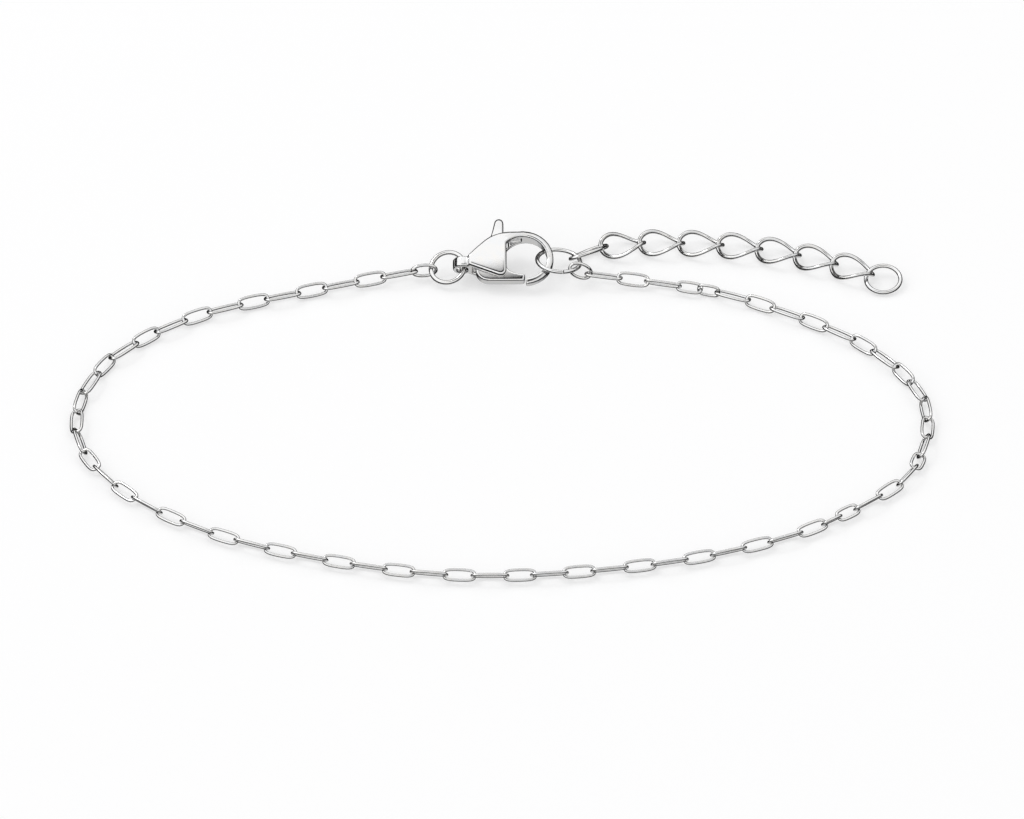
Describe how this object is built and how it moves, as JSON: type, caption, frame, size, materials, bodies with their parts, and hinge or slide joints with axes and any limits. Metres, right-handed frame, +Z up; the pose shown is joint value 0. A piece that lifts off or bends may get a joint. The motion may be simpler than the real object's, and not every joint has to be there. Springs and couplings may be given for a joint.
{
  "type": "paperclip chain bracelet",
  "caption": "Fine paperclip chain bracelet, closed into a loop by a lobster clasp whose sprung lever opens inwards, with a curb link extender and an end ring.",
  "frame": {"origin": "middle of the footprint, at the lowest point of the metal", "axes": "+X along the loop's long way, towards the extender's side, +Y towards the clasp at the back, +Z up from the surface it lies on"},
  "size_m": [0.0734, 0.0458, 0.0034],
  "materials": {
    "clasp": "polished",
    "lever": "polished",
    "pin": "polished",
    "jump_rings": "polished",
    "oval_rings": "polished",
    "chain": "polished",
    "extender": "polished"
  },
  "bodies": {
    "bracelet": {"clasp_body": "clasp", "clasp_pin": "pin", "eye_jump_ring": "jump_rings", "hook_jump_ring": "jump_rings", "eye_oval_ring": "oval_rings", "hook_oval_ring": "oval_rings", "paperclip_chain_left": "chain", "paperclip_chain_right": "chain", "extender_link_1": "extender", "extender_link_2": "extender", "extender_link_3": "extender", "extender_link_4": "extender", "extender_link_5": "extender", "extender_link_6": "extender", "extender_link_7": "extender", "extender_link_8": "extender", "end_ring": "extender"},
    "lever": {"clasp_lever": "lever"}
  },
  "joints": [
    {"name": "lever_hinge", "type": "hinge", "parent": "bracelet", "child": "lever", "pos_m": [-0.00115, 0.01702, 0.00131], "axis": [0, -0.342, 0.9397], "range_deg": [0, 20], "stiffness_Nm_per_rad": 0.004}
  ]
}
